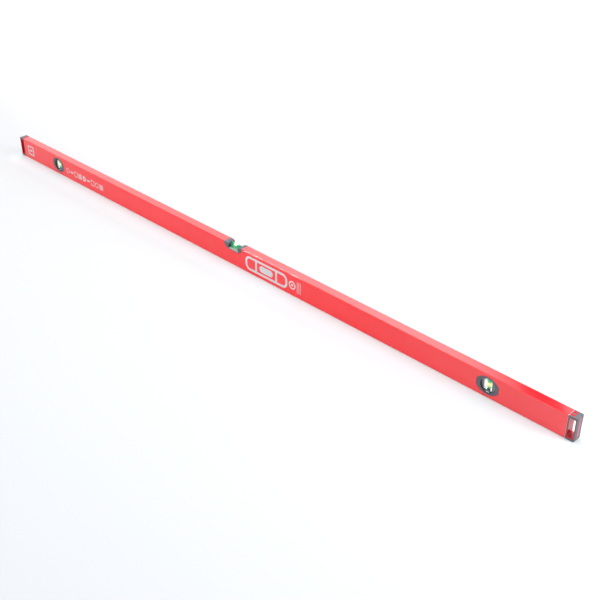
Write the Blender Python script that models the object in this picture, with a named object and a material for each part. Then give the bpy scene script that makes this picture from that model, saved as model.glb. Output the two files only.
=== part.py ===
"""Box-section spirit level, 2 m long: one horizontal vial in a notch of the top
edge and two plumb vials in round windows, closed by two pull-off end caps.

Frame: +X along the level, +Y across its thickness, +Z up. The origin is the
centre of the lower measuring face. Lengths are in metres.
"""
import math

import bmesh
import bpy
from mathutils import Matrix, Vector

MM = 0.001

# ---------------------------------------------------------------- dimensions
LENGTH = 2000.0 * MM            # over both end stops
HEIGHT = 58.0 * MM              # between the two measuring faces
WIDTH = 24.0 * MM               # thickness of the box section
GAP = 0.3 * MM                  # clearance between neighbouring pieces

# extruded box section
CAP_VISIBLE = 20.7 * MM         # part of the length taken by each end cap
SIDE_WALL = 1.8 * MM
FACE_WALL = 3.0 * MM            # the two measuring faces are thicker
CORNER_R = 0.8 * MM
RIB_DEPTH = 1.2 * MM            # stiffening ribs along the inner side walls
RIB_HEIGHT = 1.6 * MM
RIB_LEVELS = (14.0 * MM, 44.0 * MM)

# notch for the horizontal vial
NOTCH_HALF = 33.6 * MM
NOTCH_DEPTH = 17.0 * MM         # also the radius of its two round ends
CHEEK_INNER = 18.8 * MM         # inner wall of the two housing cheeks
CHEEK_DROP = 2.6 * MM           # how far the cheek top falls towards the vial

# horizontal vial
LV_AXIS_Z = 49.8 * MM
LV_RADIUS = 6.8 * MM
LV_HALF = 25.6 * MM
LV_BORE = 4.6 * MM
LV_RING_X = 7.6 * MM            # index rings either side of the centre
LV_BUBBLE_HALF = 6.6 * MM
LV_BUBBLE_TRAVEL = 12.0 * MM

# plumb vials
PLUMB_X = 790.0 * MM            # 210 mm from each end
PLUMB_Z = 29.0 * MM
PLUMB_HALF_W = 28.2 * MM        # lens-shaped opening in both side walls
PLUMB_HALF_H = 22.2 * MM
PLUMB_FLAT = 8.0 * MM           # half height of its short straight ends
WINDOW_R = 18.2 * MM
COLLAR_R = 20.0 * MM
CARRIER_HALF_Y = 6.0 * MM
BLOCK_X = 9.0 * MM
BLOCK_Y = 8.7 * MM
BLOCK_Z = 12.0 * MM
PV_BORE = 4.8 * MM
PV_RING_Z = 6.2 * MM
PV_BUBBLE_R = 3.1 * MM
PV_BUBBLE_LEN = 8.6 * MM
PV_BUBBLE_TRAVEL = 9.0 * MM

# end caps
END_FACE = LENGTH / 2 - 0.4 * MM        # hard end face; the stop pad stands 0.4 proud
CAP_START = LENGTH / 2 - CAP_VISIBLE + GAP
TONGUE = 27.0 * MM                      # length pushed into the box section
TONGUE_WALL = 1.8 * MM
HOLE_X = (LENGTH / 2 - 18.9 * MM, LENGTH / 2 - 2.4 * MM)   # hanging hole in the frame
HOLE_Z = (4.6 * MM, 53.7 * MM)
HOLE_R = 3.2 * MM
LINER_THICK = 0.9 * MM                  # soft lining of the hole, held by friction
LINER_HALF_Y = WIDTH / 2 - 0.4 * MM
GRIP_Y = 5.2 * MM                       # two soft inlays in the cap's top face
GRIP_HALF_W = 2.6 * MM
GRIP_END = LENGTH / 2 - 9.1 * MM
PAD_POCKET = 0.8 * MM
PAD_HALF_W = 4.4 * MM
PAD_WAVE = 1.4 * MM
PAD_Z = (5.4 * MM, 56.0 * MM)
PAD_WAVES = 2                            # pairs of lobes

# ---------------------------------------------------------------- clean scene
for old in list(bpy.data.objects):
    bpy.data.objects.remove(old, do_unlink=True)
for old in list(bpy.data.meshes):
    bpy.data.meshes.remove(old)


# ---------------------------------------------------------------- materials
def material(name, colour, roughness, metallic=0.0, alpha=1.0, transmission=0.0):
    mat = bpy.data.materials.new(name)
    mat.use_nodes = True
    shader = mat.node_tree.nodes["Principled BSDF"]
    shader.inputs["Base Color"].default_value = (*colour, 1.0)
    shader.inputs["Roughness"].default_value = roughness
    shader.inputs["Metallic"].default_value = metallic
    shader.inputs["Alpha"].default_value = alpha
    shader.inputs["Transmission Weight"].default_value = transmission
    return mat


RED_COAT = material("red_powder_coat", (0.83, 0.055, 0.06), 0.35)
GREY_PLASTIC = material("grey_plastic", (0.19, 0.20, 0.22), 0.45)
DARK_PLASTIC = material("dark_grey_plastic", (0.05, 0.052, 0.055), 0.5)
RED_SOFT = material("red_soft_plastic", (0.58, 0.015, 0.02), 0.4)
ACRYLIC = material("clear_acrylic", (0.95, 0.97, 0.97), 0.03, alpha=0.35)
LIQUID = material("vial_liquid", (0.25, 0.75, 0.12), 0.05, alpha=0.7)
BUBBLE = material("air_bubble", (0.98, 1.0, 0.85), 0.02, alpha=0.4)
BLACK = material("black_ring", (0.01, 0.01, 0.01), 0.5)
WHITE = material("white_reflector", (0.85, 0.85, 0.83), 0.4)


# ---------------------------------------------------------------- shape tools
def finish(name, bm, mat, origin=(0.0, 0.0, 0.0), smooth=True):
    """Turn a bmesh in world coordinates into an object with the given origin."""
    bmesh.ops.recalc_face_normals(bm, faces=bm.faces)
    shift = Vector(origin)
    for vert in bm.verts:
        vert.co -= shift
    mesh = bpy.data.meshes.new(name)
    bm.to_mesh(mesh)
    bm.free()
    mesh.materials.append(mat)
    obj = bpy.data.objects.new(name, mesh)
    obj.location = shift
    bpy.context.scene.collection.objects.link(obj)
    if smooth:
        mesh.shade_smooth()
        mesh.set_sharp_from_angle(angle=math.radians(32))
    return obj


def to_axis(axis, u, v, w):
    """Point with in-plane coordinates u, v and w along the extrusion axis."""
    if axis == "X":
        return Vector((w, u, v))
    if axis == "Y":
        return Vector((u, w, v))
    return Vector((u, v, w))


def prism_bm(outline, w0, w1, axis="Y"):
    """Closed prism: an outline of (u, v) points swept from w0 to w1."""
    bm = bmesh.new()
    low = [bm.verts.new(to_axis(axis, u, v, w0)) for u, v in outline]
    high = [bm.verts.new(to_axis(axis, u, v, w1)) for u, v in outline]
    bm.faces.new(low)
    bm.faces.new(list(reversed(high)))
    count = len(outline)
    for i in range(count):
        j = (i + 1) % count
        bm.faces.new((low[i], high[i], high[j], low[j]))
    bmesh.ops.recalc_face_normals(bm, faces=bm.faces)
    return bm


def box_bm(x0, x1, y0, y1, z0, z1):
    return prism_bm([(x0, z0), (x1, z0), (x1, z1), (x0, z1)], y0, y1, "Y")


def circle(cu, cv, radius, segments):
    return [(cu + radius * math.cos(2 * math.pi * i / segments),
             cv + radius * math.sin(2 * math.pi * i / segments)) for i in range(segments)]


def rounded_rect(u0, u1, v0, v1, radius, steps=4):
    points = []
    corners = ((u1 - radius, v1 - radius, 0.0), (u0 + radius, v1 - radius, 90.0),
               (u0 + radius, v0 + radius, 180.0), (u1 - radius, v0 + radius, 270.0))
    for cu, cv, start in corners:
        for k in range(steps + 1):
            a = math.radians(start + 90.0 * k / steps)
            points.append((cu + radius * math.cos(a), cv + radius * math.sin(a)))
    return points


def scratch(name, bm):
    """Object used only as an operand of a Boolean, removed after use."""
    mesh = bpy.data.meshes.new(name)
    bm.to_mesh(mesh)
    bm.free()
    obj = bpy.data.objects.new(name, mesh)
    bpy.context.scene.collection.objects.link(obj)
    obj.hide_render = True
    obj.display_type = 'WIRE'
    return obj


def combine(base_bm, steps):
    """Apply Boolean steps [(operation, bmesh), ...] to a bmesh, return a bmesh."""
    base = scratch("operand_base", base_bm)
    for operation, bm in steps:
        tool = scratch("operand_tool", bm)
        mod = base.modifiers.new("cut", 'BOOLEAN')
        mod.operation = operation
        mod.solver = 'EXACT'
        mod.object = tool
        graph = bpy.context.evaluated_depsgraph_get()
        graph.update()
        result = bpy.data.meshes.new_from_object(base.evaluated_get(graph))
        base.modifiers.clear()
        spent = base.data
        base.data = result
        bpy.data.meshes.remove(spent)
        tool_mesh = tool.data
        bpy.data.objects.remove(tool, do_unlink=True)
        bpy.data.meshes.remove(tool_mesh)
    out = bmesh.new()
    out.from_mesh(base.data)
    last = base.data
    bpy.data.objects.remove(base, do_unlink=True)
    bpy.data.meshes.remove(last)
    bmesh.ops.remove_doubles(out, verts=out.verts, dist=0.000002)
    bmesh.ops.dissolve_limit(out, angle_limit=math.radians(0.3), verts=out.verts,
                             edges=out.edges)
    return out


def mirror_x(bm):
    """Reflect a bmesh in the plane X = 0."""
    bmesh.ops.transform(bm, matrix=Matrix.Scale(-1.0, 4, (1.0, 0.0, 0.0)), verts=bm.verts)
    bmesh.ops.reverse_faces(bm, faces=bm.faces)
    return bm


def mirror_y(bm):
    bmesh.ops.transform(bm, matrix=Matrix.Scale(-1.0, 4, (0.0, 1.0, 0.0)), verts=bm.verts)
    bmesh.ops.reverse_faces(bm, faces=bm.faces)
    return bm


def capsule_bm(centre, axis, half_length, r_axial, r_u, r_v, segments=16, rings=4):
    """Rounded bubble: an elliptical barrel with domed ends along an axis."""
    bm = bmesh.new()
    loops = []
    stations = []
    for k in range(1, rings + 1):
        a = math.radians(90.0 * k / rings)
        stations.append((-half_length + r_axial * (1 - math.cos(a)), math.sin(a)))
    mirrored = [(-w, s) for w, s in reversed(stations)]
    for w, s in stations + mirrored:
        loop = []
        for i in range(segments):
            t = 2 * math.pi * i / segments
            loop.append(bm.verts.new(Vector(centre) + to_axis(
                axis, r_u * s * math.cos(t), r_v * s * math.sin(t), w)))
        loops.append(loop)
    for a, b in zip(loops[:-1], loops[1:]):
        for i in range(segments):
            j = (i + 1) % segments
            bm.faces.new((a[i], a[j], b[j], b[i]))
    start = bm.verts.new(Vector(centre) + to_axis(axis, 0.0, 0.0, -half_length))
    end = bm.verts.new(Vector(centre) + to_axis(axis, 0.0, 0.0, half_length))
    for i in range(segments):
        j = (i + 1) % segments
        bm.faces.new((start, loops[0][j], loops[0][i]))
        bm.faces.new((end, loops[-1][i], loops[-1][j]))
    bmesh.ops.recalc_face_normals(bm, faces=bm.faces)
    return bm


def ring_bm(axis, cu, cv, r_in, r_out, w0, w1, segments=24):
    """Closed annulus with a rectangular section."""
    bm = bmesh.new()
    loops = []
    for radius, w in ((r_in, w0), (r_out, w0), (r_out, w1), (r_in, w1)):
        loops.append([bm.verts.new(to_axis(axis, u, v, w))
                      for u, v in circle(cu, cv, radius, segments)])
    for k in range(4):
        a, b = loops[k], loops[(k + 1) % 4]
        for i in range(segments):
            j = (i + 1) % segments
            bm.faces.new((a[i], a[j], b[j], b[i]))
    bmesh.ops.recalc_face_normals(bm, faces=bm.faces)
    return bm


# ---------------------------------------------------------------- outlines
def lens_outline(cx, inset=0.0, steps=12):
    """Lens-shaped plumb opening: two wide arcs joined by short straight ends."""
    half_w = PLUMB_HALF_W - inset
    half_h = PLUMB_HALF_H - inset
    flat = PLUMB_FLAT - inset * 0.4
    drop = (half_w ** 2 + flat ** 2 - half_h ** 2) / (2 * (half_h - flat))
    radius = half_h + drop
    reach = math.asin(half_w / radius)
    points = []
    for k in range(steps + 1):
        a = reach - 2 * reach * k / steps
        points.append((cx + radius * math.sin(a), PLUMB_Z - drop + radius * math.cos(a)))
    for k in range(steps + 1):
        a = -reach + 2 * reach * k / steps
        points.append((cx + radius * math.sin(a), PLUMB_Z + drop - radius * math.cos(a)))
    return points


def notch_arc(side, radius, z_top, steps=10):
    """Quarter round of the notch from the top edge down to its floor."""
    centre = NOTCH_HALF - NOTCH_DEPTH
    start = math.asin(max(-1.0, min(1.0, (z_top - HEIGHT) / radius)))
    points = []
    for k in range(steps + 1):
        a = start + (-math.pi / 2 - start) * k / steps
        points.append((side * (centre + radius * math.cos(a)), HEIGHT + radius * math.sin(a)))
    return points


# ---------------------------------------------------------------- box section
profile_end = LENGTH / 2 - CAP_VISIBLE
section = rounded_rect(-WIDTH / 2, WIDTH / 2, 0.0, HEIGHT, CORNER_R, 3)
cavity_y = WIDTH / 2 - SIDE_WALL
cavity_z0 = FACE_WALL
cavity_z1 = HEIGHT - FACE_WALL


def cavity_outline():
    """Inner outline of the box section with two ribs on each side wall."""
    def side(sign, levels):
        points = []
        for level, up in levels:
            h = RIB_HEIGHT / 2 * up
            points += [(sign * cavity_y, level - h), (sign * (cavity_y - RIB_DEPTH), level - h * 0.6),
                       (sign * (cavity_y - RIB_DEPTH), level + h * 0.6), (sign * cavity_y, level + h)]
        return points
    right = side(1, [(RIB_LEVELS[0], 1), (RIB_LEVELS[1], 1)])
    left = side(-1, [(RIB_LEVELS[1], -1), (RIB_LEVELS[0], -1)])
    return ([(-cavity_y, cavity_z0), (cavity_y, cavity_z0)] + right
            + [(cavity_y, cavity_z1), (-cavity_y, cavity_z1)] + left)


notch = (notch_arc(-1, NOTCH_DEPTH, HEIGHT) + list(reversed(notch_arc(1, NOTCH_DEPTH, HEIGHT)))
         + [(NOTCH_HALF, HEIGHT + 5 * MM), (-NOTCH_HALF, HEIGHT + 5 * MM)])
body = combine(prism_bm(section, -profile_end, profile_end, "X"), [
    ('DIFFERENCE', prism_bm(cavity_outline(), -profile_end - 5 * MM, profile_end + 5 * MM, "X")),
    ('DIFFERENCE', prism_bm(notch, -WIDTH, WIDTH, "Y")),
    ('DIFFERENCE', prism_bm(lens_outline(-PLUMB_X), -WIDTH, WIDTH, "Y")),
    ('DIFFERENCE', prism_bm(lens_outline(PLUMB_X), -WIDTH, WIDTH, "Y")),
    # the ribs are milled away under the notch to let the vial housing in
    ('DIFFERENCE', box_bm(-36 * MM, 36 * MM, -cavity_y - 0.01 * MM, cavity_y + 0.01 * MM,
                          30 * MM, cavity_z1 - 0.5 * MM)),
])
finish("profile", body, RED_COAT)


# ---------------------------------------------------------------- horizontal vial
def cheek_top(side):
    """Convex top of a cheek, from the outer top edge in towards the vial."""
    outer = NOTCH_HALF - GAP - 0.35 * MM
    points = []
    for k in range(7):
        t = k / 6
        x = outer + (CHEEK_INNER - outer) * t
        points.append((side * x, HEIGHT - 0.15 * MM - CHEEK_DROP * t ** 2.4))
    return points


inner_r = NOTCH_DEPTH - GAP
lip_top = 42.7 * MM
saddle = (notch_arc(-1, inner_r, HEIGHT - 0.6 * MM) + list(reversed(notch_arc(1, inner_r, HEIGHT - 0.6 * MM)))
          + cheek_top(1) + [(CHEEK_INNER, lip_top), (-CHEEK_INNER, lip_top)]
          + list(reversed(cheek_top(-1))))
anchor = [(-31 * MM, 34.3 * MM), (31 * MM, 34.3 * MM), (31 * MM, 45 * MM), (CHEEK_INNER + 0.5 * MM, 45 * MM),
          (CHEEK_INNER + 0.5 * MM, lip_top - 0.2 * MM), (-CHEEK_INNER - 0.5 * MM, lip_top - 0.2 * MM),
          (-CHEEK_INNER - 0.5 * MM, 45 * MM), (-31 * MM, 45 * MM)]
slot_r = LV_RADIUS + 0.4 * MM
slot_outline = ([(-7.3 * MM, 30 * MM), (7.3 * MM, 30 * MM), (7.3 * MM, LV_AXIS_Z - 1.0 * MM)]
                + [(7.3 * MM * math.cos(math.pi * k / 16), LV_AXIS_Z + slot_r * math.sin(math.pi * k / 16))
                   for k in range(17)]
                + [(-7.3 * MM, LV_AXIS_Z - 1.0 * MM)])
housing = combine(prism_bm(saddle, -WIDTH / 2 + 0.2 * MM, WIDTH / 2 - 0.2 * MM, "Y"), [
    ('UNION', prism_bm(anchor, -cavity_y + GAP, cavity_y - GAP, "Y")),
    ('DIFFERENCE', prism_bm(slot_outline, -26 * MM, 26 * MM, "X")),
    ('DIFFERENCE', box_bm(-CHEEK_INNER + 0.3 * MM, CHEEK_INNER - 0.3 * MM, -11.0 * MM, 11.0 * MM,
                          41.7 * MM, 44 * MM)),
])
finish("level_vial_housing", housing, GREY_PLASTIC)

cradle = combine(box_bm(-25.7 * MM, 25.7 * MM, -7.0 * MM, 7.0 * MM, 34.3 * MM, 45.5 * MM), [
    ('DIFFERENCE', prism_bm(circle(0, LV_AXIS_Z, LV_RADIUS + GAP, 32), -30 * MM, 30 * MM, "X")),
    ('DIFFERENCE', box_bm(-18.6 * MM, 18.6 * MM, -12 * MM, 12 * MM, 41.4 * MM, 50 * MM)),
])
finish("level_vial_cradle", cradle, DARK_PLASTIC)

reflector = combine(box_bm(-18.2 * MM, 18.2 * MM, -10.7 * MM, 10.7 * MM, 42.0 * MM, 42.9 * MM), [
    ('DIFFERENCE', prism_bm(circle(0, LV_AXIS_Z, LV_RADIUS + GAP, 32), -30 * MM, 30 * MM, "X")),
])
finish("level_vial_reflector", reflector, WHITE)

bore_end = LV_HALF - 3.0 * MM
ring_w = 0.7 * MM
barrel = combine(prism_bm(circle(0, LV_AXIS_Z, LV_RADIUS, 32), -LV_HALF, LV_HALF, "X"), [
    ('DIFFERENCE', prism_bm(circle(0, LV_AXIS_Z, LV_BORE, 24), -LV_HALF - 2 * MM, bore_end, "X")),
    ('DIFFERENCE', prism_bm(circle(0, LV_AXIS_Z, LV_BORE + 1.0 * MM, 24),
                            -LV_RING_X - ring_w / 2 - GAP, -LV_RING_X + ring_w / 2 + GAP, "X")),
    ('DIFFERENCE', prism_bm(circle(0, LV_AXIS_Z, LV_BORE + 1.0 * MM, 24),
                            LV_RING_X - ring_w / 2 - GAP, LV_RING_X + ring_w / 2 + GAP, "X")),
])
finish("level_vial_barrel", barrel, ACRYLIC)

plug_in = -LV_HALF + 3.6 * MM
finish("level_vial_plug", prism_bm(circle(0, LV_AXIS_Z, LV_BORE - GAP, 24), -LV_HALF + 0.2 * MM, plug_in, "X"),
       DARK_PLASTIC)

channel_half = LV_BUBBLE_HALF + LV_BUBBLE_TRAVEL + GAP
liquid = combine(prism_bm(circle(0, LV_AXIS_Z, LV_BORE - GAP, 24), plug_in + GAP, bore_end - GAP, "X"), [
    ('DIFFERENCE', box_bm(-channel_half, channel_half, -3.3 * MM, 3.3 * MM,
                          LV_AXIS_Z - 0.4 * MM, LV_AXIS_Z + 8 * MM)),
])
finish("level_vial_liquid", liquid, LIQUID)

finish("level_vial_bubble",
       capsule_bm((0, 0, LV_AXIS_Z + 2.0 * MM), "X", LV_BUBBLE_HALF, 2.6 * MM, 3.0 * MM, 2.0 * MM),
       BUBBLE, origin=(0.0, 0.0, LV_AXIS_Z + 2.0 * MM))

for tag, side in (("left", -1), ("right", 1)):
    centre = side * LV_RING_X
    finish("level_vial_ring_" + tag,
           ring_bm("X", 0, LV_AXIS_Z, LV_BORE, LV_BORE + 0.7 * MM, centre - ring_w / 2, centre + ring_w / 2),
           BLACK)


# ---------------------------------------------------------------- plumb vials
def plumb_vial(tag, side):
    cx = side * PLUMB_X
    back_of_plate = WIDTH / 2 - 2.1 * MM
    front = -WIDTH / 2 + 0.2 * MM

    def bezel():
        return combine(prism_bm(lens_outline(cx, GAP), front, -back_of_plate, "Y"), [
            ('UNION', prism_bm(circle(cx, PLUMB_Z, COLLAR_R, 40), front + 0.8 * MM,
                               -CARRIER_HALF_Y - GAP, "Y")),
            ('DIFFERENCE', prism_bm(circle(cx, PLUMB_Z, WINDOW_R, 40), -WIDTH, 0.0, "Y")),
        ])

    finish(tag + "_plumb_front_bezel", bezel(), GREY_PLASTIC)
    finish(tag + "_plumb_rear_bezel", mirror_y(bezel()), GREY_PLASTIC)

    carrier = combine(prism_bm(lens_outline(cx, 1.6 * MM), -CARRIER_HALF_Y, CARRIER_HALF_Y, "Y"), [
        ('DIFFERENCE', box_bm(cx - BLOCK_X - 1.5 * MM, cx + BLOCK_X + 1.5 * MM, -WIDTH, WIDTH,
                              PLUMB_Z - BLOCK_Z - GAP, PLUMB_Z + BLOCK_Z + GAP)),
    ])
    finish(tag + "_plumb_carrier", carrier, GREY_PLASTIC)

    z0, z1 = PLUMB_Z - BLOCK_Z, PLUMB_Z + BLOCK_Z
    bore_top = z1 - 1.8 * MM
    width = 0.6 * MM
    block = combine(box_bm(cx - BLOCK_X, cx + BLOCK_X, -BLOCK_Y, BLOCK_Y, z0, z1), [
        ('DIFFERENCE', prism_bm(circle(cx, 0, PV_BORE, 24), z0 - 2 * MM, bore_top, "Z")),
        ('DIFFERENCE', prism_bm(circle(cx, 0, PV_BORE + 1.0 * MM, 24),
                                PLUMB_Z - PV_RING_Z - width / 2 - GAP,
                                PLUMB_Z - PV_RING_Z + width / 2 + GAP, "Z")),
        ('DIFFERENCE', prism_bm(circle(cx, 0, PV_BORE + 1.0 * MM, 24),
                                PLUMB_Z + PV_RING_Z - width / 2 - GAP,
                                PLUMB_Z + PV_RING_Z + width / 2 + GAP, "Z")),
    ])
    finish(tag + "_plumb_block", block, ACRYLIC)

    plug_top = z0 + 2.4 * MM
    finish(tag + "_plumb_plug", prism_bm(circle(cx, 0, PV_BORE - GAP, 24), z0 + 0.2 * MM, plug_top, "Z"),
           DARK_PLASTIC)
    liquid_top = bore_top - GAP
    liquid_low = plug_top + GAP
    cup = combine(prism_bm(circle(cx, 0, PV_BORE - GAP, 24), liquid_low, liquid_top, "Z"), [
        ('DIFFERENCE', prism_bm(circle(cx, 0, PV_BUBBLE_R + GAP, 24), liquid_low + 1.0 * MM,
                                liquid_top + 3 * MM, "Z")),
    ])
    finish(tag + "_plumb_liquid", cup, LIQUID)
    top = bore_top - 0.6 * MM
    centre = (cx, 0.0, top - PV_BUBBLE_LEN / 2)
    finish(tag + "_plumb_bubble",
           capsule_bm(centre, "Z", PV_BUBBLE_LEN / 2, PV_BUBBLE_R, PV_BUBBLE_R, PV_BUBBLE_R),
           BUBBLE, origin=centre)
    for end, sign in (("lower", -1), ("upper", 1)):
        z = PLUMB_Z + sign * PV_RING_Z
        finish(tag + "_plumb_ring_" + end,
               ring_bm("Z", cx, 0, PV_BORE, PV_BORE + 0.7 * MM, z - width / 2, z + width / 2), BLACK)
    for end, sign in (("inner", -side), ("outer", side)):
        xs = sorted((cx + sign * (BLOCK_X + GAP), cx + sign * (BLOCK_X + 1.2 * MM)))
        finish(tag + "_plumb_reflector_" + end,
               box_bm(xs[0], xs[1], -BLOCK_Y, BLOCK_Y, z0, z1), WHITE)


plumb_vial("left", -1)
plumb_vial("right", 1)


# ---------------------------------------------------------------- end caps
def wavy_outline(grow, steps=36):
    """Outline in Y, Z of the end stop: a strip whose edges swell and narrow."""
    z0, z1 = PAD_Z[0] - grow, PAD_Z[1] + grow
    right, left = [], []
    for k in range(steps + 1):
        t = k / steps
        z = z0 + (z1 - z0) * t
        swell = PAD_HALF_W + grow - PAD_WAVE * math.cos(2 * math.pi * PAD_WAVES * t) ** 2
        edge = min(t, 1 - t) * (z1 - z0)
        r = 2.0 * MM
        pull = 0.0 if edge >= r else r - math.sqrt(max(0.0, r * r - (r - edge) ** 2))
        right.append((swell - pull, z))
        left.append((-(swell - pull), z))
    return right + list(reversed(left))


def end_cap(tag, side):
    """One end cap, modelled at the +X end and reflected for the other end."""
    def place(bm):
        return mirror_x(bm) if side < 0 else bm

    origin = (side * CAP_START, 0.0, HEIGHT / 2)
    shell = box_bm(CAP_START, END_FACE, -WIDTH / 2, WIDTH / 2, 0.0, HEIGHT)
    outer_edges = [e for e in shell.edges
                   if all(abs(v.co.x - END_FACE) < 1e-7 for v in e.verts)]
    bmesh.ops.bevel(shell, geom=outer_edges, offset=1.1 * MM, segments=3, profile=0.5,
                    affect='EDGES', clamp_overlap=True)
    tongue_y = cavity_y - GAP
    tongue_z0, tongue_z1 = cavity_z0 + GAP, cavity_z1 - GAP
    tongue_x0 = CAP_START - TONGUE
    steps = [
        ('UNION', box_bm(tongue_x0, CAP_START + 1.0 * MM, -tongue_y, tongue_y, tongue_z0, tongue_z1)),
        ('DIFFERENCE', box_bm(tongue_x0 - 5 * MM, CAP_START - 2.5 * MM, -tongue_y + TONGUE_WALL,
                              tongue_y - TONGUE_WALL, tongue_z0 + TONGUE_WALL, tongue_z1 - TONGUE_WALL)),
    ]
    for level in RIB_LEVELS:
        for sign in (-1, 1):
            ys = sorted((sign * (cavity_y - RIB_DEPTH - GAP), sign * (cavity_y + 1 * MM)))
            steps.append(('DIFFERENCE', box_bm(tongue_x0 - 5 * MM, CAP_START - 0.05 * MM, ys[0], ys[1],
                                               level - RIB_HEIGHT / 2 - GAP, level + RIB_HEIGHT / 2 + GAP)))
    hole = rounded_rect(HOLE_X[0], HOLE_X[1], HOLE_Z[0], HOLE_Z[1], HOLE_R)
    steps += [
        ('DIFFERENCE', prism_bm(hole, -WIDTH, WIDTH, "Y")),
        ('DIFFERENCE', prism_bm(wavy_outline(GAP), END_FACE - PAD_POCKET, END_FACE + 5 * MM, "X")),
    ]

    def finger(sign, grow, z0, z1):
        """Grip finger with a round outer end, seen from above."""
        w = GRIP_HALF_W + grow
        x_end = GRIP_END + grow
        pts = [(CAP_START + (GAP - grow) - (5 * MM if grow else 0.0), sign * GRIP_Y - w)]
        for k in range(9):
            a = -math.pi / 2 + math.pi * k / 8
            pts.append((x_end - w + w * math.cos(a), sign * GRIP_Y + w * math.sin(a)))
        pts.append((CAP_START + (GAP - grow) - (5 * MM if grow else 0.0), sign * GRIP_Y + w))
        return prism_bm(pts, z0, z1, "Z")

    grip_floor = 55.6 * MM
    bar = (CAP_START + GAP, CAP_START + 2.3 * MM)
    bar_y = GRIP_Y + GRIP_HALF_W - 0.4 * MM
    for sign in (-1, 1):
        steps.append(('DIFFERENCE', finger(sign, GAP, grip_floor - GAP, HEIGHT + 5 * MM)))
    steps.append(('DIFFERENCE', box_bm(bar[0] - 5 * MM, bar[1] + GAP, -bar_y - 0.1 * MM, bar_y + 0.1 * MM,
                                       grip_floor - GAP, grip_floor + 1.0 * MM + GAP)))
    finish(tag + "_end_cap_frame", place(combine(shell, steps)), GREY_PLASTIC, origin=origin)

    outer, inner = [rounded_rect(HOLE_X[0] + inset, HOLE_X[1] - inset, HOLE_Z[0] + inset,
                                 HOLE_Z[1] - inset, HOLE_R - inset)
                    for inset in (GAP, GAP + LINER_THICK)]
    liner = combine(prism_bm(outer, -LINER_HALF_Y, LINER_HALF_Y, "Y"),
                    [('DIFFERENCE', prism_bm(inner, -WIDTH, WIDTH, "Y"))])
    finish(tag + "_end_cap_liner", place(liner), RED_SOFT, origin=origin)

    inlay = combine(finger(-1, 0.0, grip_floor, HEIGHT), [
        ('UNION', finger(1, 0.0, grip_floor, HEIGHT)),
        ('UNION', box_bm(bar[0], bar[1], -bar_y, bar_y, grip_floor, grip_floor + 1.0 * MM)),
    ])
    finish(tag + "_end_cap_grip", place(inlay), RED_SOFT, origin=origin)

    pad = prism_bm(wavy_outline(0.0), END_FACE - PAD_POCKET + GAP, LENGTH / 2, "X")
    finish(tag + "_end_cap_stop", place(pad), RED_SOFT, origin=origin)


end_cap("left", -1)
end_cap("right", 1)
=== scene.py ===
"""Looks of the box-section spirit level: detailed meshes, procedural materials,
floor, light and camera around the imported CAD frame."""
import math

import bmesh
import bpy
from mathutils import Matrix, Vector


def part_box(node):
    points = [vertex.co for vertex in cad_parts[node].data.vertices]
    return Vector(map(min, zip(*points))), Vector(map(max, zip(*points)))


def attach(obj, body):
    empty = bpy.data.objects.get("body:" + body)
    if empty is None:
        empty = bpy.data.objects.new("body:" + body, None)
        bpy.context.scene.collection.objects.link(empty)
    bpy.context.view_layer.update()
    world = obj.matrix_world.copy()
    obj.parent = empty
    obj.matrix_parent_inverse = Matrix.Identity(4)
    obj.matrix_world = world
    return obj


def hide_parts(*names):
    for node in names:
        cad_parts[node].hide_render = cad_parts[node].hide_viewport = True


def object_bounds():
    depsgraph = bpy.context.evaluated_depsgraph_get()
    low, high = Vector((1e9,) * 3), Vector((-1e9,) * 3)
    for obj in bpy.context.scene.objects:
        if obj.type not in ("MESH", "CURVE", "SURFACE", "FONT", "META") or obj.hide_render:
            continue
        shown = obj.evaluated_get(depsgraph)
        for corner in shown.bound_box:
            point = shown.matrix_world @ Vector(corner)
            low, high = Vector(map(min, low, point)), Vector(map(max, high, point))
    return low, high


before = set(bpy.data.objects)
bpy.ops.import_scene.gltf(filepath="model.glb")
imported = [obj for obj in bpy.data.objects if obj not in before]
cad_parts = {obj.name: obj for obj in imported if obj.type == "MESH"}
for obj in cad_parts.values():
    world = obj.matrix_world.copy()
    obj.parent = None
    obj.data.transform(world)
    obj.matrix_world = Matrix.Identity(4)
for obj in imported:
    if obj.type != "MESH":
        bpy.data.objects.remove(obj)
CAD_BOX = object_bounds()

MM = 0.001
GAP = 0.3 * MM

# ------------------------------------------------------------------ dimensions
prof_lo, prof_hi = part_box("profile")
HEIGHT = prof_hi.z
HALF_Y = prof_hi.y
PROFILE_END = prof_hi.x
HALF_LENGTH = CAD_BOX[1].x

SIDE_WALL, FACE_WALL = 1.8 * MM, 3.0 * MM
CAVITY_Y = HALF_Y - SIDE_WALL
NOTCH_HALF, NOTCH_R = 33.6 * MM, 17.0 * MM
CHEEK_INNER = 18.8 * MM

barrel_lo, barrel_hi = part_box("level_vial_barrel")
LV_Z = (barrel_lo.z + barrel_hi.z) / 2
LV_R = (barrel_hi.z - barrel_lo.z) / 2
LV_HALF = barrel_hi.x
LV_BORE = 4.6 * MM
LV_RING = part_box("level_vial_ring_right")
LV_RING_X = (LV_RING[0].x + LV_RING[1].x) / 2

block_lo, block_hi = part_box("right_plumb_block")
PLUMB_X = (block_lo.x + block_hi.x) / 2
PLUMB_Z = (block_lo.z + block_hi.z) / 2
BLOCK_X = (block_hi.x - block_lo.x) / 2
BLOCK_Y = block_hi.y
BLOCK_Z = (block_hi.z - block_lo.z) / 2
PLUMB_HALF_W, PLUMB_HALF_H, PLUMB_FLAT = 28.2 * MM, 22.2 * MM, 8.0 * MM
WINDOW_R, COLLAR_R = 18.2 * MM, 20.0 * MM
CARRIER_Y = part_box("right_plumb_carrier")[1].y
PV_BORE = 4.8 * MM
PV_RING_Z = 6.2 * MM

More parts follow.
